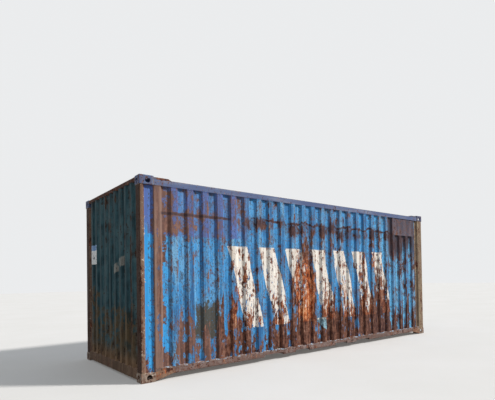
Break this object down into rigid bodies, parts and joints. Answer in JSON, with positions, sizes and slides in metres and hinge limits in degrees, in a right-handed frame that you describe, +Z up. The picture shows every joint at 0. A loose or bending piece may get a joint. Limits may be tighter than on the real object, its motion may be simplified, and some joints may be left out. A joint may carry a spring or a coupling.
{
  "type": "shipping container",
  "caption": "Steel freight container with corrugated walls, hollow corner fittings, fork pockets and a closed double door with locking bars at one end.",
  "frame": {"origin": "middle of the base, on the plane of the bottom corner fittings' lower faces", "axes": "+X along the length to the door end, +Y across the width, +Z up"},
  "size_m": [6.058, 2.438, 2.591],
  "materials": {
    "side_paint": "faded blue paint with rust",
    "end_paint": "dark teal paint with rust",
    "post_paint": "rusted paint",
    "rail_paint": "faded, rusted paint",
    "fitting_paint": "worn paint on cast steel",
    "roof_paint": "faded paint with rust",
    "door_paint": "faded blue paint with rust",
    "underframe": "dark rusted underbody paint",
    "plywood": "weathered plywood",
    "seal": "aged rubber",
    "gear": "worn, rusted galvanised steel"
  },
  "bodies": {
    "root": {"bottom_fitting_front_left": "fitting_paint", "bottom_fitting_front_right": "fitting_paint", "bottom_fitting_rear_left": "fitting_paint", "bottom_fitting_rear_right": "fitting_paint", "top_fitting_front_left": "fitting_paint", "top_fitting_front_right": "fitting_paint", "top_fitting_rear_left": "fitting_paint", "top_fitting_rear_right": "fitting_paint", "front_post_left": "post_paint", "front_post_right": "post_paint", "rear_post_left": "post_paint", "rear_post_right": "post_paint", "front_sill": "post_paint", "front_header": "end_paint", "rear_sill": "post_paint", "rear_header": "side_paint", "bottom_rail_left": "rail_paint", "bottom_rail_right": "rail_paint", "top_rail_left": "rail_paint", "top_rail_right": "rail_paint", "rail_gussets": "rail_paint", "cross_members": "underframe", "fork_pockets": "underframe", "floor_boards": "plywood", "front_wall": "end_paint", "side_wall_left": "side_paint", "side_wall_right": "side_paint", "roof_panel": "roof_paint", "roof_corner_plates": "roof_paint", "marking_panels": "side_paint", "door_frame_left": "door_paint", "door_frame_right": "door_paint", "door_panel_left": "door_paint", "door_panel_right": "door_paint", "door_gaskets": "seal", "hinge_lugs": "gear", "hinge_blades": "gear", "locking_bar_1": "gear", "locking_bar_2": "gear", "locking_bar_3": "gear", "locking_bar_4": "gear", "bar_brackets": "gear", "cam_keepers": "gear", "door_handles": "gear", "handle_catches": "gear"}
  },
  "joints": []
}
